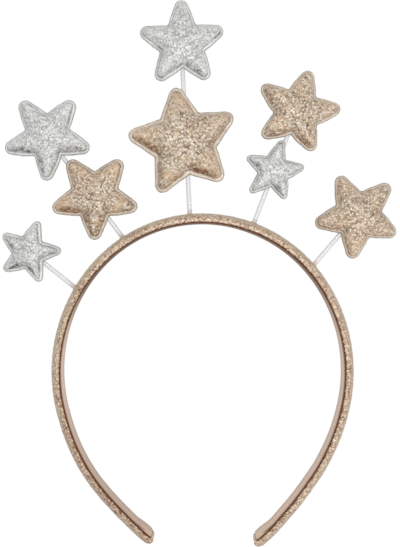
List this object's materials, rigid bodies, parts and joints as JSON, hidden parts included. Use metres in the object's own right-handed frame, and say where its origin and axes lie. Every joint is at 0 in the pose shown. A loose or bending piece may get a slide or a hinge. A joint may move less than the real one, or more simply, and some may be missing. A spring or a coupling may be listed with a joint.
{
  "type": "star headband",
  "caption": "Hair band covered in gold glitter fabric with a rose lining, carrying padded gold and silver glitter stars on straight clear plastic stems.",
  "frame": {"origin": "on the flat back edge of the band, under the middle of the crown, at the surface that the headband lies on", "axes": "+X to the right, +Y from the open ends towards the stars, +Z from the back edge up to the front edge"},
  "size_m": [0.1705, 0.2348, 0.0135],
  "materials": {
    "gold_glitter": "champagne gold glitter fabric, coarse sparkle",
    "silver_glitter": "silver glitter fabric, coarse sparkle",
    "rose_lining": "smooth rose gold metallic fabric",
    "clear_plastic": "clear to milky plastic rod"
  },
  "bodies": {
    "root": {"band": "gold_glitter", "lining": "rose_lining", "stem_low_left": "clear_plastic", "stem_left": "clear_plastic", "stem_centre": "clear_plastic", "stem_right": "clear_plastic", "stem_low_right": "clear_plastic", "star_low_left_front": "silver_glitter", "star_low_left_back": "silver_glitter", "star_upper_left_front": "silver_glitter", "star_upper_left_back": "silver_glitter", "star_mid_left_front": "gold_glitter", "star_mid_left_back": "gold_glitter", "star_top_front": "silver_glitter", "star_top_back": "silver_glitter", "star_centre_front": "gold_glitter", "star_centre_back": "gold_glitter", "star_upper_right_front": "gold_glitter", "star_upper_right_back": "gold_glitter", "star_mid_right_front": "silver_glitter", "star_mid_right_back": "silver_glitter", "star_low_right_front": "gold_glitter", "star_low_right_back": "gold_glitter"}
  },
  "joints": []
}
